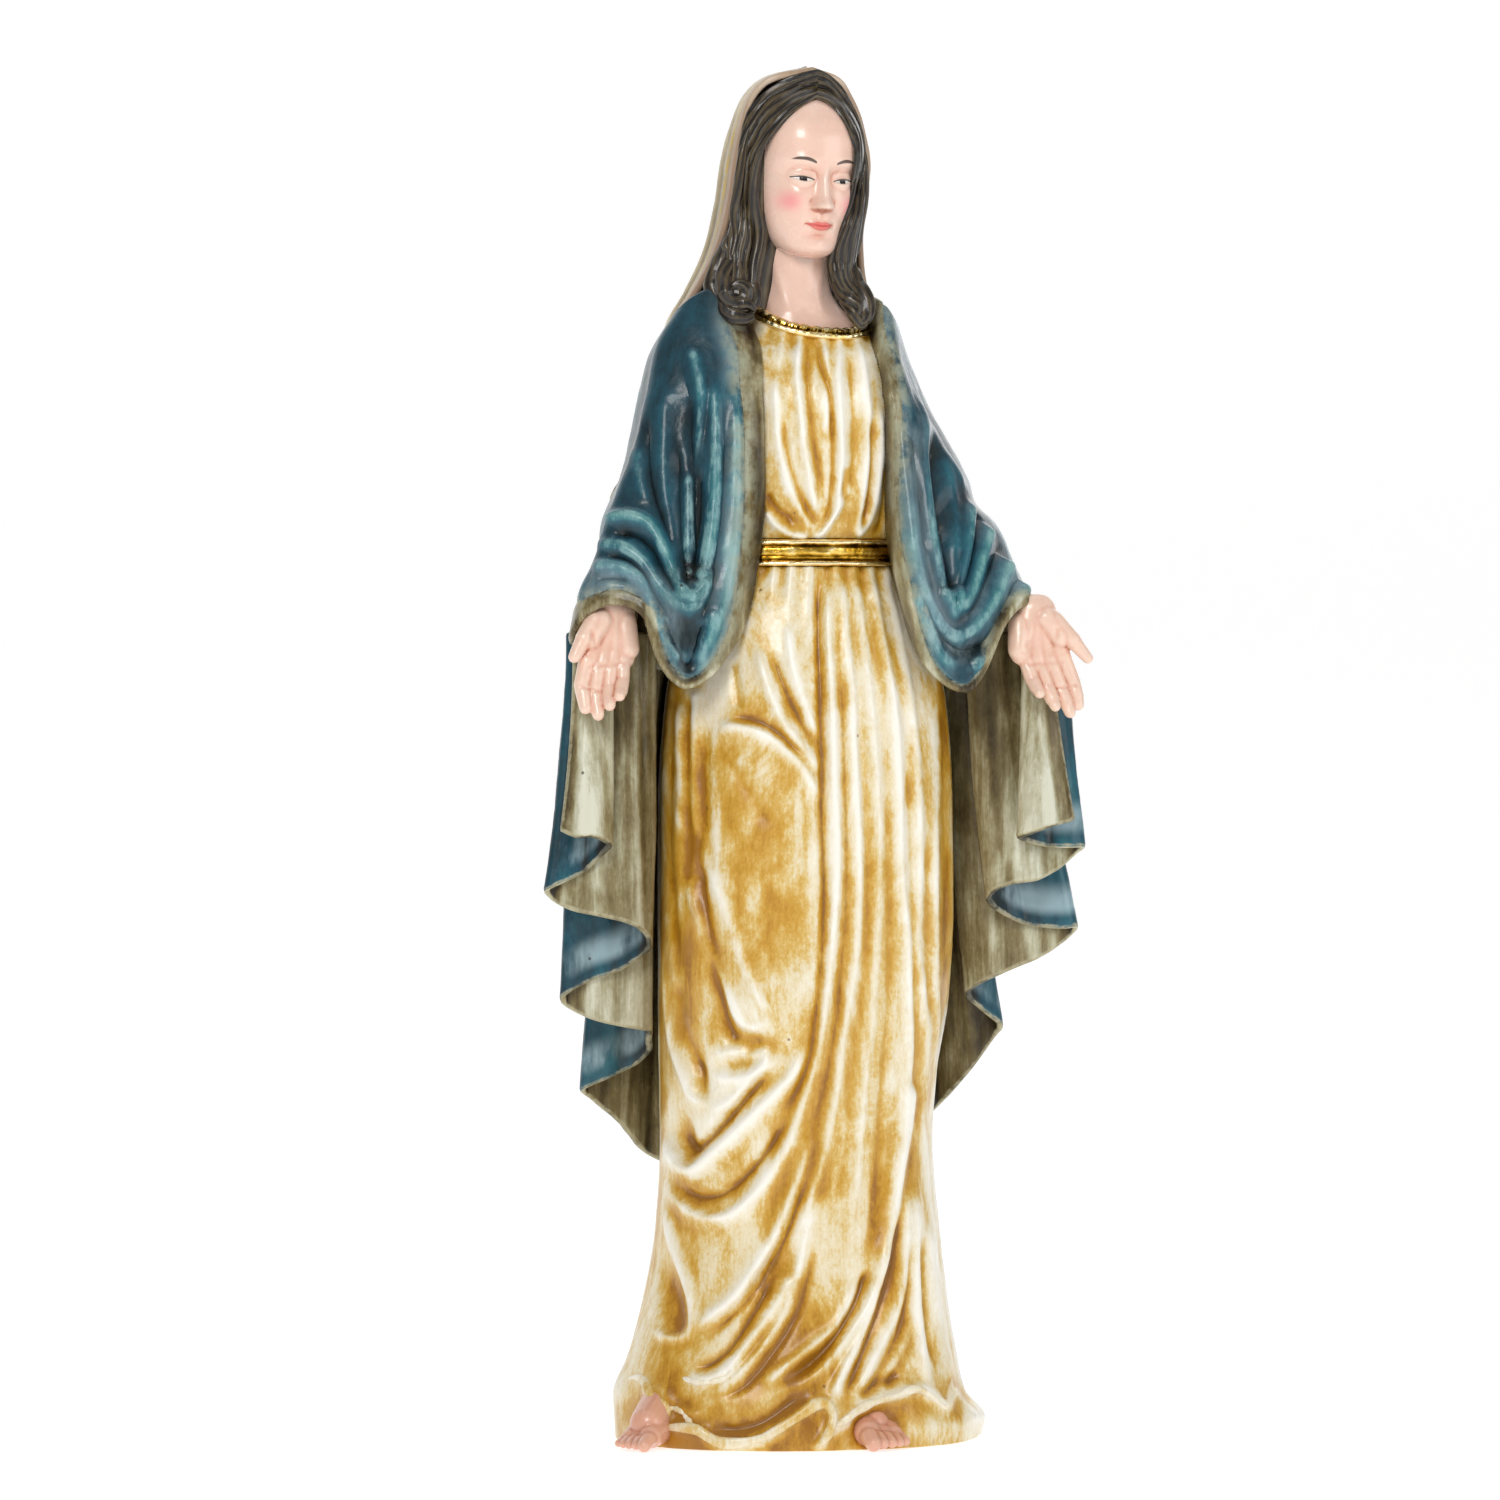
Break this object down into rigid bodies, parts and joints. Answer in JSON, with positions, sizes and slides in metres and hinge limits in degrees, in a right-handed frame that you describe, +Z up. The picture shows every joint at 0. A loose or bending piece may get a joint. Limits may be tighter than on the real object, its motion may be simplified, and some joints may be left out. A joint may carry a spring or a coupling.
{
  "type": "madonna statue",
  "caption": "Standing madonna figure with lowered open hands, in a belted gown, mantle and veil, hand-painted hollow casting on a flat underside.",
  "frame": {"origin": "centre of the flat underside of the base plug, level with the gown's rim", "axes": "+Z up, the figure faces -Y, +X is the figure's own left"},
  "size_m": [0.1242, 0.0763, 0.2994],
  "materials": {
    "gown_paint": "cream paint rubbed back over ochre glaze, satin varnish",
    "mantle_paint": "blue paint with teal dry-brushed ridges, olive lining, satin varnish",
    "veil_paint": "olive and tan paint, satin varnish",
    "skin_paint": "flesh paint, semi-gloss varnish",
    "hair_paint": "dark brown paint, gloss varnish",
    "gilding": "gold leaf paint over size, glossy",
    "raw_cast": "bare casting, matt",
    "dowel_wire": "drawn wire",
    "dowel_wood": "plain beech"
  },
  "bodies": {
    "root": {"gown": "gown_paint", "base_plug": "raw_cast", "mantle": "mantle_paint", "sleeve_right": "mantle_paint", "sleeve_left": "mantle_paint", "veil": "veil_paint", "head": "skin_paint", "hair": "hair_paint", "neckline_trim": "gilding", "belt": "gilding", "hand_right": "skin_paint", "hand_left": "skin_paint", "wrist_dowel_right": "dowel_wire", "wrist_dowel_left": "dowel_wire", "neck_dowel": "dowel_wood", "foot_right": "skin_paint", "foot_left": "skin_paint"}
  },
  "joints": []
}
